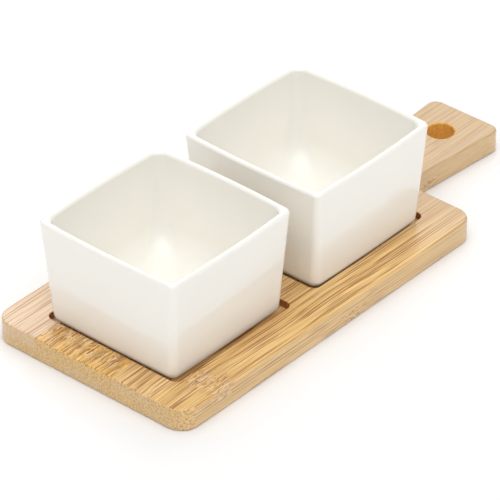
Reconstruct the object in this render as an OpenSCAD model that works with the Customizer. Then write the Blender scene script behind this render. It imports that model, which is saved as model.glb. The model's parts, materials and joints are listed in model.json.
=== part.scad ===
// Chip and dip server: a paddle-shaped board of laminated bamboo staves with two
// square porcelain dip bowls standing in shallow pockets.
// Millimetres, +Z up. The origin is the bottom centre of the whole object, +X points
// to the handle, and the board lies flat on Z = 0.

/* [Board] */
// Length of the board without its handle
board_l = 214; // [200:1:240]
// Width of the board
board_w = 120; // [112:1:130]
// Thickness of the board, which is two layers of staves
board_t = 12; // [10:0.5:18]
// Radius of the board's four upright corners
board_corner_r = 10; // [4:0.5:14]
// Width of one full stave
stave_w = 24; // [23:0.5:26]
// Distance from the board's edge to a layer's first glue line
first_joint = 21; // [17:0.5:25]

/* [Handle] */
// Length of the handle beyond the board
handle_l = 69; // [50:1:90]
// Width of the handle where it leaves the board
handle_root_w = 33; // [24:1:40]
// Width of the handle at its free end
handle_end_w = 43.5; // [34:0.5:50]
// Radius of the two upright corners at the handle's end
handle_corner_r = 5.5; // [2:0.5:10]
// Diameter of the hanging hole
hole_d = 14; // [8:0.5:16]
// Distance from the hole's centre to the handle's end
hole_inset = 21.7; // [14:0.1:30]

/* [Pockets] */
// Side of each square pocket
pocket_w = 82; // [81:0.5:84]
// Depth of the pockets, which stays inside the top layer
pocket_depth = 3.5; // [2:0.5:4.5]
// Radius of the pockets' upright corners
pocket_corner_r = 3.5; // [2:0.5:8]

/* [Bowls] */
// Height of a bowl from its foot to its lip
bowl_h = 58.5; // [45:0.5:70]
// Width of a bowl at the rim, across the middle of two sides
rim_w = 86.4; // [84:0.2:90]
// How far the middle of a side bows out at the rim
rim_bow = 1.3; // [0.6:0.1:2.5]
// Radius of the outer corners at the rim
rim_corner_r = 3.2; // [2.6:0.2:8]
// Width of a bowl at its base, across the middle of two sides
base_w = 77.8; // [74:0.2:79]
// How far the middle of a side bows out at the base
base_bow = 0.3; // [0.2:0.1:1.5]
// Radius of the outer corners at the base
base_corner_r = 4.6; // [3:0.2:12]
// Radius of the rounding between the walls and the foot
base_edge_r = 5.5; // [3:0.5:6]
// Thickness of the rounded lip
lip_t = 3.4; // [3:0.1:5]
// Thickness of the wall just above the inside rounding
wall_t = 4.4; // [3.4:0.1:6]
// Thickness of the bowl's floor
floor_t = 5; // [3:0.5:8]
// Radius of the rounding between the inside walls and the floor
inside_edge_r = 17; // [8:1:20]
// Radius of the inside corners at the floor
inside_corner_r = 14; // [6:1:16]
// Radius of the inside corners at the rim
inside_rim_corner_r = 5; // [3:0.5:8]
// Width of the foot ring that the bowl stands on
foot_ring_w = 4; // [3:0.5:6]
// Height of the hollow inside the foot ring
foot_hollow = 1.2; // [0.5:0.1:2]
// Where the front bowl stands in its pocket, from the pocket's centre
front_shift = [-1.3, 0.6]; // [-1.9:0.1:1.9]
// Where the rear bowl stands in its pocket, from the pocket's centre
rear_shift = [-0.9, -1.9]; // [-1.9:0.1:1.9]

/* [Hidden] */
$fn = 64;

// Board, worked out from the sizes above
layer_t = board_t / 2;
overall_l = board_l + handle_l;
board_x0 = -overall_l / 2;
board_x1 = board_x0 + board_l;
handle_x1 = overall_l / 2;
hole_x = handle_x1 - hole_inset;
pocket_gap = (board_l - 2 * pocket_w) / 3;
pocket_floor = board_t - pocket_depth;
pocket_x = [for (i = [0, 1]) board_x0 + pocket_gap + pocket_w / 2 + i * (pocket_gap + pocket_w)];
stave_count = 5;

// Bowl, worked out from the sizes above
lip_r = lip_t / 2;
neck_z = bowl_h - lip_r;
edge_steps = 5;
lip_steps = 8;
inside_steps = 8;
side_steps = 8;
corner_steps = 6;
cut = 1;

// ---- Board ----

// Flat outline of the board's body: a rectangle with round corners
module rounded_rectangle(length, width, r) {
    square([length - 2 * r, width], center = true);
    square([length, width - 2 * r], center = true);
    for (x = [-1, 1], y = [-1, 1])
        translate([x * (length / 2 - r), y * (width / 2 - r)]) circle(r);
}

// Half the handle's width at the distance x from the board's end
function handle_half(x) = (handle_root_w + (handle_end_w - handle_root_w) * x / handle_l) / 2;

// Flat outline of the handle: it widens to its end, where both corners are round
module handle_outline() {
    r = handle_corner_r;
    end_y = handle_half(handle_l - r);
    translate([board_x1, 0]) {
        polygon([
            [-cut, -handle_half(0)], [0, -handle_half(0)], [handle_l - r, -end_y],
            [handle_l - r, end_y], [0, handle_half(0)], [-cut, handle_half(0)]
        ]);
        translate([handle_l - r, -end_y + r]) square([r, 2 * (end_y - r)]);
        for (y = [-1, 1]) translate([handle_l - r, y * (end_y - r)]) circle(r);
    }
}

module board_outline() {
    translate([board_x0 + board_l / 2, 0]) rounded_rectangle(board_l, board_w, board_corner_r);
    handle_outline();
}

// Y of glue line i in the top layer: 0 and stave_count are the board's own edges
function joint_y(i) =
    i == 0 ? -board_w / 2
    : i == stave_count ? board_w / 2
    : -board_w / 2 + first_joint + (i - 1) * stave_w;

// One stave, cut to the board's outline. The lower layer is laid the other way over,
// so that its glue lines don't lie under those of the top layer.
module stave(i, layer) {
    y0 = layer == "top" ? joint_y(i - 1) : -joint_y(i);
    y1 = layer == "top" ? joint_y(i) : -joint_y(i - 1);
    z0 = layer == "top" ? layer_t : 0;
    difference() {
        translate([0, 0, z0]) linear_extrude(layer_t) intersection() {
            board_outline();
            translate([board_x0, y0]) square([overall_l, y1 - y0]);
        }
        hanging_hole();
        if (layer == "top") pockets();
    }
}

module hanging_hole() {
    translate([hole_x, 0, -cut]) cylinder(d = hole_d, h = board_t + 2 * cut);
}

module pockets() {
    for (x = pocket_x) translate([x, 0, pocket_floor]) linear_extrude(pocket_depth + cut)
        rounded_rectangle(pocket_w, pocket_w, pocket_corner_r);
}

module top_stave(i) color(i % 2 == 0 ? "burlywood" : "wheat") stave(i, "top");

module bottom_stave(i) color(i % 2 == 0 ? "tan" : "burlywood") stave(i, "bottom");

// ---- Bowls ----

function mix(a, b, t) = a + (b - a) * t;

// Square ring with bowed sides and round corners. m is half the width across the
// middles of two sides, bow is how far a side's middle stands out, r rounds the corners.
function bowed_square(m, bow, r) =
    let (
        corner = m - bow,
        side_r = (corner * corner + bow * bow) / (2 * bow),
        side_c = m - side_r,
        d = (side_c + sqrt(2 * pow(side_r - r, 2) - side_c * side_c)) / 2,
        a = atan2(d, d - side_c),
        side = [for (i = [0:side_steps]) let (t = mix(-a, a, i / side_steps))
            [side_c + side_r * cos(t), side_r * sin(t)]],
        round = [for (i = [1:corner_steps - 1]) let (t = mix(a, 90 - a, i / corner_steps))
            [d + r * cos(t), d + r * sin(t)]],
        quarter = concat(side, round)
    )
    [for (q = [0:3], p = quarter)
        [p[0] * cos(90 * q) - p[1] * sin(90 * q), p[0] * sin(90 * q) + p[1] * cos(90 * q)]];

function outer_half(z) = mix(base_w, rim_w, z / bowl_h) / 2;

// Outer ring at height z, moved in by inset. The corners lose part of the inset from
// their radius, so that the rounding under the bowl keeps soft corners.
function outer_ring(z, inset) =
    let (t = z / bowl_h, r = mix(base_corner_r, rim_corner_r, t) - 0.6 * inset)
    [for (p = bowed_square(outer_half(z) - inset, mix(base_bow, rim_bow, t), max(r, 1)))
        [p[0], p[1], z]];

// Ring on the rounded lip, from its outer side at a = 0 over its crest to its inner side at 180
function lip_ring(a) =
    let (z = neck_z + lip_r * sin(a), way_in = (1 - cos(a)) / 2)
    [for (p = bowed_square(
        outer_half(z) - lip_t * way_in,
        mix(base_bow, rim_bow, z / bowl_h),
        mix(rim_corner_r, inside_rim_corner_r, way_in))) [p[0], p[1], z]];

// Inner ring at height z, moved in by inset from the inside wall
function inner_ring(z, inset) =
    let (t = (z - floor_t) / (neck_z - floor_t))
    [for (p = bowed_square(
        outer_half(z) - mix(wall_t, lip_t, t) - inset,
        mix(base_bow, rim_bow, z / bowl_h),
        mix(inside_corner_r, inside_rim_corner_r, sqrt(t)))) [p[0], p[1], z]];

// Rings from the hollow under the foot, up the outside, over the lip and down the inside
bowl_rings = concat(
    [
        outer_ring(foot_hollow, base_edge_r + foot_ring_w + foot_hollow),
        outer_ring(0, base_edge_r + foot_ring_w)
    ],
    [for (i = [0:edge_steps]) let (a = 90 * i / edge_steps)
        outer_ring(base_edge_r * (1 - cos(a)), base_edge_r * (1 - sin(a)))],
    [for (i = [1:2]) outer_ring(mix(base_edge_r, neck_z, i / 3), 0)],
    [for (i = [0:lip_steps - 1]) lip_ring(180 * i / lip_steps)],
    [for (i = [0:3]) inner_ring(mix(neck_z, floor_t + inside_edge_r, i / 4), 0)],
    [for (i = [0:inside_steps]) let (a = 90 * i / inside_steps)
        inner_ring(floor_t + inside_edge_r * (1 - sin(a)), inside_edge_r * (1 - cos(a)))]
);

// Solid through a stack of rings with equal numbers of points, closed at both ends
module loft(rings) {
    n = len(rings[0]);
    last = len(rings) - 1;
    walls = [for (k = [0:last - 1], i = [0:n - 1], half = [0, 1])
        let (a = k * n + i, b = k * n + (i + 1) % n)
        half == 0 ? [a, a + n, b + n] : [a, b + n, b]];
    start = [for (i = [0:n - 1]) i];
    end = [for (i = [n - 1:-1:0]) last * n + i];
    polyhedron(points = [for (ring = rings, p = ring) p], faces = concat([start], walls, [end]));
}

module bowl(x, shift) {
    color("ivory") translate([x + shift[0], shift[1], pocket_floor]) loft(bowl_rings);
}

module bowl_front() bowl(pocket_x[0], front_shift);

module bowl_rear() bowl(pocket_x[1], rear_shift);

top_stave(1);  // top_stave_1
top_stave(2);  // top_stave_2
top_stave(3);  // top_stave_3
top_stave(4);  // top_stave_4
top_stave(5);  // top_stave_5
bottom_stave(1);  // bottom_stave_1
bottom_stave(2);  // bottom_stave_2
bottom_stave(3);  // bottom_stave_3
bottom_stave(4);  // bottom_stave_4
bottom_stave(5);  // bottom_stave_5
bowl_front();
bowl_rear();
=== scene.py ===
"""Looks of the chip and dip server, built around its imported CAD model.

The board is one lofted shape cut into its bamboo staves, and each bowl is a stack of
bowed squares. The pieces' places come from the frame, in metres, with +X to the handle.
The materials measure places in millimetres.
"""

import json
import math

import bmesh
import bpy
from mathutils import Matrix, Vector, noise


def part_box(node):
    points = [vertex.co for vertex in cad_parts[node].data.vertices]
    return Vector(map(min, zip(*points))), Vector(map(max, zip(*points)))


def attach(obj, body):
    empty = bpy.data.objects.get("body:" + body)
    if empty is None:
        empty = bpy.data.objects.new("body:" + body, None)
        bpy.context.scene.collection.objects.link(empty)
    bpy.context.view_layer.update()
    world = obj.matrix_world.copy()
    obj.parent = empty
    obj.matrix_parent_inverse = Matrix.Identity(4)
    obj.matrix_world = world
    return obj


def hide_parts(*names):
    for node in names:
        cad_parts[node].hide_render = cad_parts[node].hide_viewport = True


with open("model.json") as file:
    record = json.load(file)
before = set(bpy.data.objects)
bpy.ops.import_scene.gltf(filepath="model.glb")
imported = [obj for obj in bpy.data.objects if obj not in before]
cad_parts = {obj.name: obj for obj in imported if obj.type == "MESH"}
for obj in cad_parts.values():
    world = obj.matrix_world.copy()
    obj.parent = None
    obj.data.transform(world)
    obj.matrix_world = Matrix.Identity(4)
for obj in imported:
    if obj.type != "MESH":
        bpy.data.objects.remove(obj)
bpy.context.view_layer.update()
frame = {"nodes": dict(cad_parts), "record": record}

MM = 0.001
STAVES = range(1, 6)

# Board sizes that the frame doesn't give
BOARD_CORNER_R = 10 * MM
HANDLE_ROOT_W = 33 * MM
HANDLE_END_W = 43.5 * MM
HANDLE_CORNER_R = 5.5 * MM
HANDLE_INNER_R = 0.8 * MM
POCKET_CORNER_R = 3.5 * MM
BOARD_EDGE_R = 1.2 * MM
POCKET_EDGE_R = 0.35 * MM
POCKET_FLOOR_R = 0.5 * MM
HOLE_EDGE_R = 0.7 * MM
LEAST_R = 0.05 * MM
CORNER_STEPS = 10
EDGE_STEPS = 6
HOLE_STEPS = 72

# Bowl sizes that the frame doesn't give
RIM_BOW = 1.3 * MM
RIM_CORNER_R = 3.2 * MM
BASE_W = 77.8 * MM
BASE_BOW = 0.3 * MM
BASE_CORNER_R = 4.6 * MM
BASE_EDGE_R = 5.5 * MM
LEAST_CORNER_R = 1 * MM
CORNER_R_LOSS = 0.6  # per unit of inset
LIP_T = 3.4 * MM
WALL_T = 4.4 * MM
FLOOR_T = 5 * MM
INSIDE_EDGE_R = 17 * MM
INSIDE_CORNER_R = 14 * MM
INSIDE_RIM_CORNER_R = 5 * MM
FLOOR_INSETS = (4 * MM, 9 * MM)
FOOT_RING_W = 4 * MM
FOOT_BEVEL = 0.3 * MM
FOOT_LEAN = 0.5 * MM
FOOT_HOLLOW = 1.2 * MM
FOOT_HOLLOW_INSETS = (0.9 * MM, 8 * MM, 18 * MM)
GLAZE_WAVE = 0.12 * MM
WAVES_PER_M = 28
WAVE_SEEDS_PER_M = 40
SIDE_POINTS = 28
BOWL_CORNER_POINTS = 12
BASE_EDGE_STEPS = 12
OUTER_WALL_STEPS = 16
LIP_STEPS = 14
INNER_WALL_STEPS = 14
INSIDE_EDGE_STEPS = 18


# ---- Camera ----

def direction_to_camera(azimuth, elevation):
    """Unit vector from the object to the camera. Azimuth 0 looks along +Y."""
    a, e = math.radians(azimuth), math.radians(elevation)
    return Vector((math.sin(a) * math.cos(e), -math.cos(a) * math.cos(e), math.sin(e)))


def add_camera(azimuth, elevation, roll, distance, target, lens):
    data = bpy.data.cameras.new("camera")
    data.lens = lens
    data.sensor_width = 36
    data.clip_start, data.clip_end = 0.1, 20
    camera = bpy.data.objects.new("camera", data)
    bpy.context.scene.collection.objects.link(camera)
    back = direction_to_camera(azimuth, elevation)
    turn = (-back).to_track_quat("-Z", "Y").to_matrix().to_4x4()
    camera.matrix_world = (
        Matrix.Translation(target + back * distance) @ turn @ Matrix.Rotation(math.radians(roll), 4, "Z")
    )
    bpy.context.scene.camera = camera


# ---- Outlines and lofts ----

def mix(a, b, t):
    return a + (b - a) * t


def moved_corner(before, here, after, inset):
    """The corner at here once both of its edges have moved in by inset."""
    d0, d1 = (here - before).normalized(), (after - here).normalized()
    n0, n1 = Vector((-d0.y, d0.x)), Vector((-d1.y, d1.x))
    return here + (n0 + n1) * (inset / (1 + n0.dot(n1)))


def rounded_ring(corners, inset, z):
    """Points round a polygon whose corners are (x, y, radius), anticlockwise, moved in by inset."""
    sharp = [Vector((x, y)) for x, y, _ in corners]
    count = len(sharp)
    moved = [moved_corner(sharp[i - 1], sharp[i], sharp[(i + 1) % count], inset) for i in range(count)]
    ring = []
    for i, (_, _, radius) in enumerate(corners):
        d0 = (moved[i] - moved[i - 1]).normalized()
        d1 = (moved[(i + 1) % count] - moved[i]).normalized()
        turn = math.atan2(d0.cross(d1), d0.dot(d1))
        side = math.copysign(1, turn)
        r = max(radius - side * inset, LEAST_R)
        start = moved[i] - d0 * r * math.tan(abs(turn) / 2)
        centre = start + Vector((-d0.y, d0.x)) * side * r
        for k in range(CORNER_STEPS + 1):
            arm = Matrix.Rotation(turn * k / CORNER_STEPS, 2) @ (start - centre)
            ring.append((*(centre + arm), z))
    return ring


def circle_ring(x, y, r, z):
    angles = [2 * math.pi * k / HOLE_STEPS for k in range(HOLE_STEPS)]
    return [(x + r * math.cos(a), y + r * math.sin(a), z) for a in angles]


def quarter_turn(steps):
    """Angles from 0 to a quarter turn, in equal steps."""
    return [math.pi / 2 * i / steps for i in range(steps + 1)]


def quarter_arc(r, steps=EDGE_STEPS):
    """(way in from the wall, way down from the face) along a rounded edge, from wall to face."""
    return [(r * (1 - math.cos(a)), r * (1 - math.sin(a))) for a in quarter_turn(steps)]


def loft(bm, rings, material=0):
    """Joins rings of equal length with quads, and returns the rings' vertices."""
    made = [[bm.verts.new(p) for p in ring] for ring in rings]
    for lower, upper in zip(made, made[1:]):
        for i in range(len(lower)):
            j = (i + 1) % len(lower)
            face = bm.faces.new((lower[i], lower[j], upper[j], upper[i]))
            face.material_index = material
    return made


def ring_edges(bm, ring):
    return [bm.edges.get((ring[i - 1], ring[i])) for i in range(len(ring))]


def fill_flat(bm, edges, normal):
    """Fills a flat area bounded by closed loops of edges, holes left open."""
    bmesh.ops.triangle_fill(bm, use_beauty=True, use_dissolve=False, edges=edges, normal=normal)


def finish_mesh(bm, name, materials, sharp_angle=30):
    """Makes the bmesh into an object, smooth where its faces meet at less than sharp_angle."""
    bmesh.ops.remove_doubles(bm, verts=bm.verts, dist=1e-7)
    bmesh.ops.recalc_face_normals(bm, faces=bm.faces)
    mesh = bpy.data.meshes.new(name)
    bm.to_mesh(mesh)
    bm.free()
    for material in materials:
        mesh.materials.append(material)
    mesh.shade_smooth()
    mesh.set_sharp_from_angle(angle=math.radians(sharp_angle))
    piece = bpy.data.objects.new(name, mesh)
    bpy.context.scene.collection.objects.link(piece)
    weighted = piece.modifiers.new("even_flat_faces", "WEIGHTED_NORMAL")
    weighted.keep_sharp = True
    return piece


# ---- Board ----

def coordinates(node, axis, where=lambda p: True):
    """The distinct values that a CAD node's corners have along one axis, lowest first."""
    return sorted({round(v.co[axis], 6) for v in frame["nodes"][node].data.vertices if where(v.co)})


def read_board():
    """The board's measures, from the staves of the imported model."""
    whole, side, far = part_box("top_stave_3"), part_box("top_stave_1"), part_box("top_stave_5")
    floor = coordinates("top_stave_3", 2)[1]

    def on_floor(p):
        return abs(p.z - floor) < 1e-5

    x = coordinates("top_stave_3", 0, on_floor)
    y = (coordinates("top_stave_1", 1, on_floor)[0], coordinates("top_stave_5", 1, on_floor)[-1])
    hole = next(m for m in frame["record"]["mounts"] if m["name"] == "hanging_hole")
    return {
        "x": (whole[0].x, side[1].x, whole[1].x),
        "y": (side[0].y, far[1].y),
        "layer": whole[0].z,
        "top": whole[1].z,
        "floor": floor,
        "pockets": [(x[0], x[1], *y), (x[-2], x[-1], *y)],
        "hole": (hole["pos_m"][0], hole["pos_m"][1], hole["dims"]["r_mm"] * MM),
    }


def board_corners(board):
    x0, x1, x2 = board["x"]
    y0, y1 = board["y"]
    root, end = HANDLE_ROOT_W / 2, HANDLE_END_W / 2
    return [
        (x0, y0, BOARD_CORNER_R), (x1, y0, BOARD_CORNER_R), (x1, -root, HANDLE_INNER_R),
        (x2, -end, HANDLE_CORNER_R), (x2, end, HANDLE_CORNER_R), (x1, root, HANDLE_INNER_R),
        (x1, y1, BOARD_CORNER_R), (x0, y1, BOARD_CORNER_R),
    ]


def pocket_corners(pocket):
    x0, x1, y0, y1 = pocket
    return [(x, y, POCKET_CORNER_R) for x, y in ((x0, y0), (x1, y0), (x1, y1), (x0, y1))]


# Material slots of the board. Slot 0 is its grain.
POCKET_WALL, BORE = 1, 2


def whole_board(board):
    """The board in one closed mesh, before it is cut into staves."""
    bm = bmesh.new()
    top = board["top"]
    arc = quarter_arc(BOARD_EDGE_R)
    corners = board_corners(board)
    profile = [(inset, down) for inset, down in reversed(arc)]
    profile += [(inset, top - down) for inset, down in arc]
    outside = loft(bm, [rounded_ring(corners, inset, z) for inset, z in profile])
    top_edges = ring_edges(bm, outside[-1])
    bottom_edges = ring_edges(bm, outside[0])

    for pocket in board["pockets"]:
        profile = [(-inset, top - down) for inset, down in reversed(quarter_arc(POCKET_EDGE_R))]
        profile += [(inset, board["floor"] + down) for inset, down in quarter_arc(POCKET_FLOOR_R)]
        rings = [rounded_ring(pocket_corners(pocket), inset, z) for inset, z in profile]
        made = loft(bm, rings, POCKET_WALL)
        top_edges += ring_edges(bm, made[0])
        bm.faces.new(made[-1])

    x, y, r = board["hole"]
    arc = quarter_arc(HOLE_EDGE_R)
    profile = [(inset, top - down) for inset, down in reversed(arc)]
    profile += [(inset, down) for inset, down in arc]
    made = loft(bm, [circle_ring(x, y, r + out, z) for out, z in profile], BORE)
    top_edges += ring_edges(bm, made[0])
    bottom_edges += ring_edges(bm, made[-1])

    fill_flat(bm, top_edges, (0, 0, 1))
    fill_flat(bm, bottom_edges, (0, 0, 1))
    bmesh.ops.recalc_face_normals(bm, faces=bm.faces)
    return bm


def keep_side(bm, point, normal):
    """Cuts the mesh with a plane, drops what lies on the normal's side and closes the cut."""
    geometry = bm.verts[:] + bm.edges[:] + bm.faces[:]
    made = bmesh.ops.bisect_plane(
        bm, geom=geometry, dist=1e-8, plane_co=point, plane_no=normal, clear_outer=True
    )
    fill_flat(bm, [g for g in made["geom_cut"] if isinstance(g, bmesh.types.BMEdge)], normal)


def add_staves(board):
    """Cuts the board into its staves, each of which stands for its own CAD node."""
    master = whole_board(board)
    for layer in ("top", "bottom"):
        for i in STAVES:
            name = f"{layer}_stave_{i}"
            low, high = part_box(name)
            bm = master.copy()
            keep_side(bm, (0, 0, board["layer"]), (0, 0, -1 if layer == "top" else 1))
            if low.y > board["y"][0] + MM:
                keep_side(bm, (0, low.y, 0), (0, -1, 0))
            if high.y < board["y"][1] - MM:
                keep_side(bm, (0, high.y, 0), (0, 1, 0))
            piece = finish_mesh(bm, f"bamboo_{name}", [bamboo(layer, i), pocket_wall, bore_wall])
            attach(piece, "board")
            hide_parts(name)
    master.free()


# ---- Bowls ----

def bowed_square(m, bow, r):
    """A square ring with bowed sides. m is half its width across its sides' middles, r its corner radius."""
    corner = m - bow
    side_r = (corner * corner + bow * bow) / (2 * bow)
    side_c = m - side_r
    d = (side_c + math.sqrt(2 * (side_r - r) ** 2 - side_c * side_c)) / 2
    a = math.atan2(d, d - side_c)
    quarter = []
    for i in range(SIDE_POINTS + 1):
        t = mix(-a, a, i / SIDE_POINTS)
        quarter.append((side_c + side_r * math.cos(t), side_r * math.sin(t)))
    for i in range(1, BOWL_CORNER_POINTS):
        t = mix(a, math.pi / 2 - a, i / BOWL_CORNER_POINTS)
        quarter.append((d + r * math.cos(t), d + r * math.sin(t)))
    turns = ((1, 0), (0, 1), (-1, 0), (0, -1))
    return [(x * c - y * s, x * s + y * c) for c, s in turns for x, y in quarter]


class BowlShape:
    """One bowl's rings, from its CAD box and the sizes above."""

    def __init__(self, node):
        low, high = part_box(node)
        self.centre = (low + high) / 2
        self.base = low.z
        self.height = high.z - low.z
        self.neck = self.height - LIP_T / 2
        self.rim_w = BASE_W + (high.x - low.x - BASE_W) * self.height / self.neck
        self.wave_seed = self.centre.x * WAVE_SEEDS_PER_M

    def outer_half(self, z):
        return mix(BASE_W, self.rim_w, z / self.height) / 2

    def bow(self, z):
        return mix(BASE_BOW, RIM_BOW, z / self.height)

    def outer(self, z, inset):
        """Outer ring at height z, moved in by inset."""
        radius = mix(BASE_CORNER_R, RIM_CORNER_R, z / self.height) - CORNER_R_LOSS * inset
        radius = max(radius, LEAST_CORNER_R)
        return self.ring(self.outer_half(z) - inset, self.bow(z), radius, z)

    def lip(self, angle):
        """Ring on the rounded lip, from its outer side at 0 over its crest to its inner side at pi."""
        z = self.neck + LIP_T / 2 * math.sin(angle)
        way_in = (1 - math.cos(angle)) / 2
        radius = mix(RIM_CORNER_R, INSIDE_RIM_CORNER_R, way_in)
        return self.ring(self.outer_half(z) - LIP_T * way_in, self.bow(z), radius, z)

    def inner(self, z, inset):
        """Inner ring at height z, moved in by inset from the inside wall."""
        t = (z - FLOOR_T) / (self.neck - FLOOR_T)
        half = self.outer_half(z) - mix(WALL_T, LIP_T, t) - inset
        radius = mix(INSIDE_CORNER_R, INSIDE_RIM_CORNER_R, math.sqrt(t))
        return self.ring(half, self.bow(z), radius, z)

    def ring(self, half, bow, radius, z):
        """Points of one ring, with the slight unevenness that a cast and glazed wall has."""
        points = []
        for x, y in bowed_square(half, bow, radius):
            place = Vector((x * WAVES_PER_M, y * WAVES_PER_M, z * WAVES_PER_M + self.wave_seed))
            scale = 1 - GLAZE_WAVE * (0.5 + 0.5 * noise.noise(place)) / half
            points.append((self.centre.x + x * scale, self.centre.y + y * scale, self.base + z))
        return points

    def foot_rings(self):
        """From the outside of the foot ring, under it and up into the hollow."""
        inner = BASE_EDGE_R + FOOT_RING_W
        profile = [(0, BASE_EDGE_R), (0, inner - FOOT_BEVEL), (FOOT_BEVEL, inner)]
        profile += [(FOOT_HOLLOW - FOOT_BEVEL, inner + FOOT_LEAN)]
        profile += [(FOOT_HOLLOW, inner + inset) for inset in FOOT_HOLLOW_INSETS]
        return [self.outer(z, inset) for z, inset in profile]

    def glazed_rings(self):
        """From the foot up the outside, over the lip and down to the middle of the floor."""
        rings = [self.outer(up, inset) for up, inset in quarter_arc(BASE_EDGE_R, BASE_EDGE_STEPS)]
        for i in range(1, OUTER_WALL_STEPS):
            rings.append(self.outer(mix(BASE_EDGE_R, self.neck, i / OUTER_WALL_STEPS), 0))
        rings += [self.lip(math.pi * i / LIP_STEPS) for i in range(LIP_STEPS)]
        shoulder = FLOOR_T + INSIDE_EDGE_R
        for i in range(INNER_WALL_STEPS):
            rings.append(self.inner(mix(self.neck, shoulder, i / INNER_WALL_STEPS), 0))
        for inset, up in quarter_arc(INSIDE_EDGE_R, INSIDE_EDGE_STEPS):
            rings.append(self.inner(FLOOR_T + up, inset))
        # Known fault: these last rings are narrower than twice their corner radius, so they cross
        # themselves, and part of the floor's middle faces down.
        rings += [self.inner(FLOOR_T, INSIDE_EDGE_R + inset) for inset in FLOOR_INSETS]
        return rings


# Material slot of the bowls' bare foot. Slot 0 is the glaze.
BARE = 1


def add_bowl(node, body):
    shape = BowlShape(node)
    bm = bmesh.new()
    foot = loft(bm, shape.foot_rings(), BARE)
    bm.faces.new(foot[-1]).material_index = BARE
    glazed = loft(bm, shape.glazed_rings())
    bm.faces.new(glazed[-1])
    piece = finish_mesh(bm, f"porcelain_{node}", [glaze, bisque], sharp_angle=50)
    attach(piece, body)
    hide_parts(node)


# ---- Materials ----

def linear(red, green, blue):
    """A colour given as screen values from 0 to 255."""
    def one(c):
        c /= 255
        return c / 12.92 if c <= 0.04045 else ((c + 0.055) / 1.055) ** 2.4
    return (one(red), one(green), one(blue), 1)


class Shader:
    """A material's node tree, with a short way to add each kind of node."""

    def __init__(self, name):
        self.material = bpy.data.materials.new(name)
        self.material.use_nodes = True
        self.nodes = self.material.node_tree.nodes
        self.links = self.material.node_tree.links
        self.surface = self.nodes["Principled BSDF"]
        where = self.nodes.new("ShaderNodeTexCoord")
        self.place = self.vector("SCALE", where.outputs["Object"], scale=1000)
        self.normal = where.outputs["Normal"]

    def feed(self, socket, value):
        if isinstance(value, bpy.types.NodeSocket):
            self.links.new(value, socket)
        elif value is not None:
            socket.default_value = value

    def vector(self, operation, a, b=None, scale=None):
        node = self.nodes.new("ShaderNodeVectorMath")
        node.operation = operation
        self.feed(node.inputs[0], a)
        self.feed(node.inputs[1], b)
        self.feed(node.inputs[3], scale)
        return node.outputs[0]

    def math(self, operation, a, b=None, c=None):
        node = self.nodes.new("ShaderNodeMath")
        node.operation = operation
        for socket, value in zip(node.inputs, (a, b, c)):
            self.feed(socket, value)
        return node.outputs[0]

    def scaled(self, *per_mm):
        """The place in steps per millimetre, one number for all axes or one for each."""
        return self.vector("MULTIPLY", self.place, per_mm * 3 if len(per_mm) == 1 else per_mm)

    def split(self, vector):
        node = self.nodes.new("ShaderNodeSeparateXYZ")
        self.feed(node.inputs[0], vector)
        return node.outputs

    def join(self, x, y, z):
        node = self.nodes.new("ShaderNodeCombineXYZ")
        for socket, value in zip(node.inputs, (x, y, z)):
            self.feed(socket, value)
        return node.outputs[0]

    def noise(self, vector, detail=2.0, roughness=0.5):
        node = self.nodes.new("ShaderNodeTexNoise")
        self.feed(node.inputs["Vector"], vector)
        node.inputs["Scale"].default_value = 1
        node.inputs["Detail"].default_value = detail
        node.inputs["Roughness"].default_value = roughness
        return node.outputs["Fac"]

    def cells(self, vector, flat=False):
        """Distance to the nearest of many scattered points. With flat, the vector's Z doesn't count."""
        node = self.nodes.new("ShaderNodeTexVoronoi")
        node.voronoi_dimensions = "2D" if flat else "3D"
        self.feed(node.inputs["Vector"], vector)
        node.inputs["Scale"].default_value = 1
        return node.outputs["Distance"]

    def smooth(self, value, low, high):
        """0 at low and 1 at high, eased between. low may be the larger one."""
        node = self.nodes.new("ShaderNodeMapRange")
        node.interpolation_type = "SMOOTHSTEP"
        self.feed(node.inputs["Value"], value)
        node.inputs["From Min"].default_value = min(low, high)
        node.inputs["From Max"].default_value = max(low, high)
        node.inputs["To Min"].default_value = 0 if low < high else 1
        node.inputs["To Max"].default_value = 1 if low < high else 0
        return node.outputs[0]

    def swing(self, value, reach):
        """A value from 0 to 1, made to run from -reach to reach."""
        return self.math("MULTIPLY_ADD", value, 2 * reach, -reach)

    def blend(self, factor, a, b):
        node = self.nodes.new("ShaderNodeMix")
        node.data_type = "RGBA"
        self.feed(node.inputs[0], factor)
        self.feed(node.inputs[6], a)
        self.feed(node.inputs[7], b)
        return node.outputs[2]

    def coats(self, colour, *coats):
        """The colour with each coat laid over it in turn. A coat is (mask, strength, colour)."""
        for mask, strength, coat in coats:
            colour = self.blend(self.math("MULTIPLY", mask, strength), colour, coat)
        return colour

    def bump(self, height, distance):
        """height in units of distance, which is in metres."""
        node = self.nodes.new("ShaderNodeBump")
        self.feed(node.inputs["Height"], height)
        node.inputs["Distance"].default_value = distance
        node.inputs["Strength"].default_value = 1
        self.links.new(node.outputs[0], self.surface.inputs["Normal"])

    def set(self, **values):
        for name, value in values.items():
            self.feed(self.surface.inputs[name.replace("_", " ")], value)


# Tone of each stave's wood, from 0 for golden to 1 for pale pink, and where its knuckles lie along X
TOP_STAVES = {
    1: (0.30, (-114, 96)), 2: (0.42, (18,)), 3: (0.0, (-129, 60)), 4: (0.1, (-129, 75)), 5: (1.0, (-40,)),
}
BOTTOM_STAVES = {
    1: (0.45, (-60,)), 2: (0.3, (30,)), 3: (0.6, (-95, 110)), 4: (0.25, (88,)), 5: (0.5, (-20,)),
}

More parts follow.
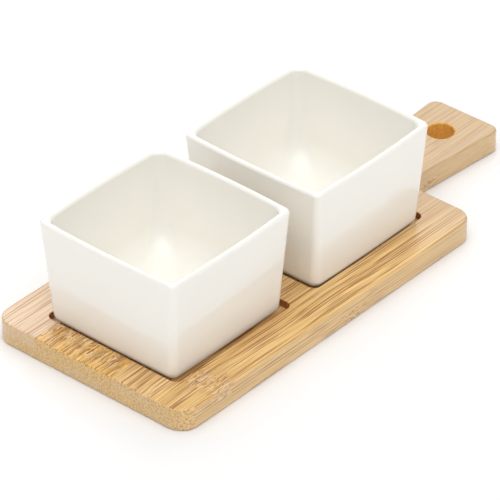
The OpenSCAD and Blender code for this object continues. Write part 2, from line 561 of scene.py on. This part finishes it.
GOLD_LIGHT, GOLD_DARK = linear(250, 206, 114), linear(222, 166, 68)
PINK_LIGHT, PINK_DARK = linear(238, 210, 178), linear(222, 186, 144)
FIBRE, FINE_FIBRE = linear(148, 90, 18), linear(178, 118, 36)
DASH, SPECK = linear(178, 112, 34), linear(104, 62, 28)
END_GRAIN, SIDE_GRAIN = linear(214, 182, 126), linear(226, 190, 132)
# The first colour here is painted shade and sheen for the handle; the second is the glue's own colour.
HANDLE_SHADE_AND_SHEEN, GLUE = linear(192, 164, 130), linear(150, 104, 58)
# The pocket walls' colours, a darker brown than the board's top.
POCKET_WALL_LIGHT, POCKET_WALL_DARK = linear(188, 124, 62), linear(128, 70, 30)
BORE_LIGHT, BORE_DARK = linear(238, 186, 92), linear(214, 154, 64)
GLAZE_LIGHT, GLAZE_DARK = linear(251, 249, 242), linear(250, 247, 239)
BISQUE_LIGHT, BISQUE_DARK = linear(232, 224, 208), linear(214, 203, 184)
PINHOLE = linear(214, 204, 188)
FLOOR_WHITE = (0.93, 0.93, 0.93, 1)

# How far fibres stray from straight, in millimetres: a knuckle's line, a fibre's drift along the
# stave and its kink at a knuckle
KNUCKLE_WANDER = 8
FIBRE_DRIFT = 2.5
FIBRE_KINK = 2.2

# How far from a knuckle's line its mark is still full, and where it ends, in millimetres
KNUCKLE_CORE = 2
KNUCKLE_REACH = 12

# Where along X the wood is painted darker and pinker towards the handle, as painted shade and painted sheen,
# in millimetres
FAR_START, FAR_END = 15, 90

# Steps that keep the noise of one stave apart from the others'
STAVE_SEED = 41.7
BOTTOM_SEED = 333


def knuckle_mask(s, x, wander, knuckles):
    """1 along each knuckle, where the culm's ring crosses the stave, and 0 away from it."""
    total = 0.0
    for place in knuckles:
        gap = s.math("ABSOLUTE", s.math("SUBTRACT", s.math("SUBTRACT", x, place), wander))
        total = s.math("ADD", s.smooth(gap, KNUCKLE_REACH, KNUCKLE_CORE), total)
    return s.math("MINIMUM", total, 1.0)


class Grain:
    """One stave's grain: its knuckles, and a place that bends with the fibres."""

    def __init__(self, s, seed, knuckles):
        self.s = s
        self.seed = seed
        self.x, self.y, z = s.split(s.place)
        wander = s.noise(s.join(seed, s.math("MULTIPLY", self.y, 0.16), 0))
        self.knuckle = knuckle_mask(s, self.x, s.swing(wander, KNUCKLE_WANDER), knuckles)
        slow = s.noise(s.scaled(0.012, 0.02, 0.02), detail=1)
        quick = s.noise(s.scaled(0.13, 0.22, 0.22))
        drift = s.swing(slow, FIBRE_DRIFT)
        shift = s.math("MULTIPLY_ADD", s.swing(quick, FIBRE_KINK), self.knuckle, drift)
        self.across = s.math("ADD", self.y, shift)
        self.through = s.math("ADD", z, s.math("MULTIPLY", shift, 0.7))
        self.place = s.join(s.math("ADD", self.x, seed), self.across, self.through)

    def along(self, length, width):
        """The place in steps of length along the fibres and width across them."""
        return self.s.vector("MULTIPLY", self.place, (1 / length, 1 / width, 1 / width))

    def streaks(self, length, width, low, high, detail=2.0):
        """A mask of soft streaks along the fibres."""
        return self.s.smooth(self.s.noise(self.along(length, width), detail), low, high)

    def bundles(self, pitch, outer, inner):
        """A mask of fibre bundles: lines along the stave, dots on its end grain."""
        s = self.s
        section = s.join(s.math("ADD", self.across, self.seed), self.through, 0)
        return s.smooth(s.cells(s.vector("MULTIPLY", section, (1 / pitch,) * 3), flat=True), outer, inner)

    def at_knuckles(self, mask):
        return self.s.math("MULTIPLY", mask, self.knuckle)

    def facing(self, axis, low, high):
        """A mask of the faces that look along one axis."""
        return self.s.smooth(self.s.math("ABSOLUTE", self.s.split(self.s.normal)[axis]), low, high)


def glue_line(s, y, side, low, high):
    """A mask of the thin line where two staves meet, on every face but the sides."""
    edge_gap = s.math("MINIMUM", s.math("SUBTRACT", y, low.y / MM), s.math("SUBTRACT", high.y / MM, y))
    return s.math("MULTIPLY", s.smooth(edge_gap, 0.16, 0.04), s.math("MULTIPLY_ADD", side, -0.5, 0.5))


def bamboo(layer, i):
    """Flat-pressed bamboo: long fibre bundles along X, seen as streaks on top and dots on end grain."""
    tone, knuckles = (TOP_STAVES if layer == "top" else BOTTOM_STAVES)[i]
    low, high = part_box(f"{layer}_stave_{i}")
    s = Shader(f"bamboo_{layer}_{i}")
    grain = Grain(s, i * STAVE_SEED + (0 if layer == "top" else BOTTOM_SEED), knuckles)
    coarse = s.math(
        "MULTIPLY",
        grain.bundles(pitch=1.1, outer=0.40, inner=0.24),
        grain.streaks(length=34, width=1.0, low=0.36, high=0.54),
    )
    fine = s.math(
        "MULTIPLY",
        grain.bundles(pitch=0.7, outer=0.5, inner=0.25),
        grain.streaks(length=26, width=1.1, low=0.34, high=0.62),
    )
    broad = grain.streaks(length=190, width=6.5, low=0.3, high=0.7, detail=1)
    streak = grain.streaks(length=80, width=0.7, low=0.42, high=0.60)
    dash = grain.at_knuckles(grain.streaks(length=4.5, width=0.8, low=0.52, high=0.62))
    pale = grain.at_knuckles(grain.streaks(length=7, width=1.2, low=0.48, high=0.6))
    speck = grain.at_knuckles(s.smooth(s.cells(grain.along(length=3.6, width=3.2)), 0.15, 0.07))
    end = grain.facing(axis=0, low=0.3, high=0.95)
    side = grain.facing(axis=1, low=0.7, high=1.0)
    far = s.smooth(grain.x, FAR_START, FAR_END)

    depth = s.math("MULTIPLY_ADD", broad, 0.2, s.math("MULTIPLY", streak, 0.8))
    light = s.blend(tone, GOLD_LIGHT, PINK_LIGHT)
    dark = s.blend(tone, GOLD_DARK, PINK_DARK)
    # Towards the handle the colour is painted darker and pinker: painted shade, with the pale cast of the
    # sheen painted in.
    wood = s.coats(
        s.blend(depth, light, dark),
        (far, 0.75, HANDLE_SHADE_AND_SHEEN), (pale, 0.8, PINK_LIGHT), (end, 0.6, END_GRAIN), (side, 0.6, SIDE_GRAIN),
    )
    # Fibres show less on end grain and sides, in pale wood and towards the handle
    shown = s.math("MULTIPLY_ADD", side, -0.4, s.math("MULTIPLY_ADD", end, -0.4, 1.0))
    shown = s.math("MULTIPLY", shown, s.math("MULTIPLY_ADD", far, -0.6, 1 - 0.4 * tone))
    colour = s.coats(
        wood,
        (s.math("MULTIPLY", fine, shown), 0.5, FINE_FIBRE), (s.math("MULTIPLY", coarse, shown), 0.95, FIBRE),
        (dash, 0.7, DASH), (speck, 0.8, SPECK),
        (glue_line(s, grain.y, side, low, high), 1, GLUE),
    )
    s.set(Base_Color=colour, Roughness=s.math("MULTIPLY_ADD", streak, 0.12, 0.42))
    s.set(Coat_Weight=1.0, Coat_Roughness=0.22, Specular_IOR_Level=0.4)
    height = s.math("MULTIPLY_ADD", streak, 0.5, s.math("MULTIPLY", coarse, -0.6))
    height = s.math("SUBTRACT", height, s.math("ADD", s.math("MULTIPLY", fine, 0.3), dash))
    s.bump(height, 0.07 * MM)
    return s.material


def cut_wood(name, light, dark):
    """Routed or drilled walls, streaked between a light and a dark colour."""
    s = Shader(name)
    streak = s.noise(s.scaled(0.05, 1.4, 1.4), detail=2)
    chatter = s.noise(s.scaled(0.8, 0.8, 0.12), detail=2)
    tone = s.math("MULTIPLY_ADD", streak, 0.6, s.math("MULTIPLY", chatter, 0.4))
    s.set(Base_Color=s.blend(s.smooth(tone, 0.3, 0.7), light, dark), Roughness=0.6)
    s.bump(tone, 0.08 * MM)
    return s.material


def porcelain_glaze():
    """Glossy white, with faint clouds and ripples and a few pinholes."""
    s = Shader("porcelain_glaze")
    cloud = s.noise(s.scaled(0.04), detail=2)
    pinhole = s.smooth(s.cells(s.scaled(0.09)), 0.05, 0.02)
    colour = s.coats(s.blend(cloud, GLAZE_LIGHT, GLAZE_DARK), (pinhole, 0.25, PINHOLE))
    ripple = s.noise(s.scaled(0.07), detail=1)
    s.set(Base_Color=colour, Roughness=0.12, IOR=1.52, Coat_Weight=0.5, Coat_Roughness=0.05)
    s.bump(s.math("SUBTRACT", ripple, s.math("MULTIPLY", pinhole, 0.2)), 0.12 * MM)
    return s.material


def porcelain_bisque():
    """The bare, matt porcelain of the foot."""
    s = Shader("porcelain_bisque")
    grain = s.noise(s.scaled(2.5), detail=3, roughness=0.7)
    s.set(Base_Color=s.blend(grain, BISQUE_LIGHT, BISQUE_DARK), Roughness=0.85)
    s.bump(grain, 0.05 * MM)
    return s.material


# ---- Stage and light ----

def add_floor():
    bm = bmesh.new()
    bmesh.ops.create_grid(bm, x_segments=1, y_segments=1, size=6)
    mesh = bpy.data.meshes.new("floor")
    bm.to_mesh(mesh)
    bm.free()
    material = bpy.data.materials.new("floor")
    material.use_nodes = True
    surface = material.node_tree.nodes["Principled BSDF"]
    surface.inputs["Base Color"].default_value = FLOOR_WHITE
    surface.inputs["Roughness"].default_value = 0.9
    surface.inputs["Specular IOR Level"].default_value = 0.1
    mesh.materials.append(material)
    floor = bpy.data.objects.new("floor", mesh)
    floor.location.z = -0.2 * MM
    bpy.context.scene.collection.objects.link(floor)


def add_area_light(name, azimuth, elevation, distance, size, power):
    data = bpy.data.lights.new(name, "AREA")
    data.shape = "DISK"
    data.size = size
    data.energy = power
    light = bpy.data.objects.new(name, data)
    way = direction_to_camera(azimuth, elevation)
    light.location = way * distance
    light.rotation_mode = "QUATERNION"
    light.rotation_quaternion = way.to_track_quat("Z", "Y")
    bpy.context.scene.collection.objects.link(light)


# Even light of the studio, and its softboxes as (azimuth, elevation, strength, tightness)
SURROUND = 0.34
GLOWS = (
    (-95, 40, 0.40, 10), (-48, 40, 0.42, 10), (0, 40, 0.42, 10), (45, 40, 0.20, 10), (180, 40, 0.40, 10),
    (-48, 66, 1.75, 10), (0, 90, 0.90, 8), (131, 34, 1.35, 12),
)


def add_world(base, glows):
    """Soft studio surround: an even base and wide glows."""
    world = bpy.data.worlds.new("studio")
    world.use_nodes = True
    nodes, links = world.node_tree.nodes, world.node_tree.links
    where = nodes.new("ShaderNodeTexCoord")

    def math_node(operation, a, b):
        node = nodes.new("ShaderNodeMath")
        node.operation = operation
        links.new(a, node.inputs[0])
        if isinstance(b, bpy.types.NodeSocket):
            links.new(b, node.inputs[1])
        else:
            node.inputs[1].default_value = b
        return node.outputs[0]

    total = None
    for azimuth, elevation, strength, tightness in glows:
        side = nodes.new("ShaderNodeVectorMath")
        side.operation = "DOT_PRODUCT"
        links.new(where.outputs["Generated"], side.inputs[0])
        side.inputs[1].default_value = direction_to_camera(azimuth, elevation)
        glow = math_node("POWER", math_node("MAXIMUM", side.outputs["Value"], 0), tightness)
        glow = math_node("MULTIPLY", glow, strength)
        total = math_node("ADD", glow, base if total is None else total)
    links.new(total, nodes["Background"].inputs["Strength"])
    nodes["Background"].inputs["Color"].default_value = (1, 1, 1, 1)
    bpy.context.scene.world = world


# ---- The scene ----

bpy.context.scene.view_settings.view_transform = "Standard"
add_camera(
    azimuth=-49.07, elevation=34.66, roll=-0.23, distance=2.148,
    target=Vector((-0.0081, 0.0153, 0)), lens=318.9,
)
# The pocket walls in a darker brown than the top, and the hole's wall in golden brown.
pocket_wall = cut_wood("dark_pocket_wall", POCKET_WALL_LIGHT, POCKET_WALL_DARK)
bore_wall = cut_wood("hanging_hole_wall", BORE_LIGHT, BORE_DARK)
glaze = porcelain_glaze()
bisque = porcelain_bisque()
add_staves(read_board())
add_bowl("bowl_front", "front_bowl")
add_bowl("bowl_rear", "rear_bowl")
add_floor()
add_world(SURROUND, GLOWS)
add_area_light("sparkle", azimuth=120, elevation=64, distance=1.5, size=0.16, power=0.8)
